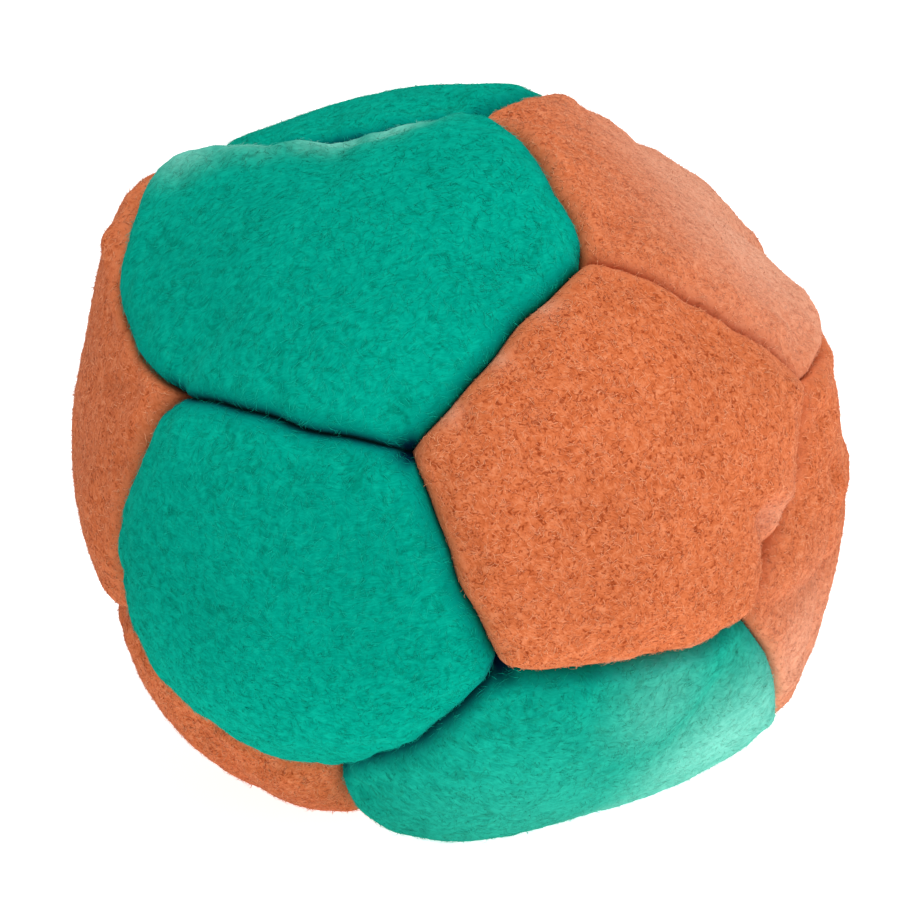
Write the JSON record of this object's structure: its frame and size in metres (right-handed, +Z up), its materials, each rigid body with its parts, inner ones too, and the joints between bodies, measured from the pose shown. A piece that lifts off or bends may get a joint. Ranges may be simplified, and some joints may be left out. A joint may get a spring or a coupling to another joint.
{
  "type": "juggling ball",
  "caption": "Soft juggling beanbag sewn from five-sided brushed cloth panels in teal and orange, filled with loose seed and resting on one of its corners.",
  "frame": {"origin": "middle of the flattened patch that the settled ball stands on", "axes": "+Z up through the corner of three panels on top; -Y through the middle of the seam between the upper front and the lower front panel; +X to the right of that seam"},
  "size_m": [0.0658, 0.0636, 0.0607],
  "materials": {
    "teal_cloth": "teal brushed microfibre suede with a short directional nap",
    "orange_cloth": "orange brushed fleece with a short clumped nap",
    "thread": "twisted polyester sewing thread, navy",
    "seed": "smooth dry millet seed, straw yellow"
  },
  "bodies": {
    "root": {"top_front_panel": "teal_cloth", "top_right_panel": "orange_cloth", "top_back_panel": "teal_cloth", "upper_front_panel": "orange_cloth", "upper_left_panel": "orange_cloth", "upper_back_panel": "teal_cloth", "lower_front_panel": "teal_cloth", "lower_right_panel": "orange_cloth", "lower_back_panel": "orange_cloth", "bottom_front_panel": "teal_cloth", "bottom_left_panel": "orange_cloth", "bottom_back_panel": "teal_cloth", "front_hub_thread": "thread", "back_hub_thread": "thread", "front_side_thread_1": "thread", "front_side_thread_2": "thread", "front_side_thread_3": "thread", "front_side_thread_4": "thread", "front_side_thread_5": "thread", "back_side_thread_1": "thread", "back_side_thread_2": "thread", "back_side_thread_3": "thread", "back_side_thread_4": "thread", "back_side_thread_5": "thread", "belt_thread": "thread", "closing_thread": "thread", "seed_filling": "seed"}
  },
  "joints": []
}
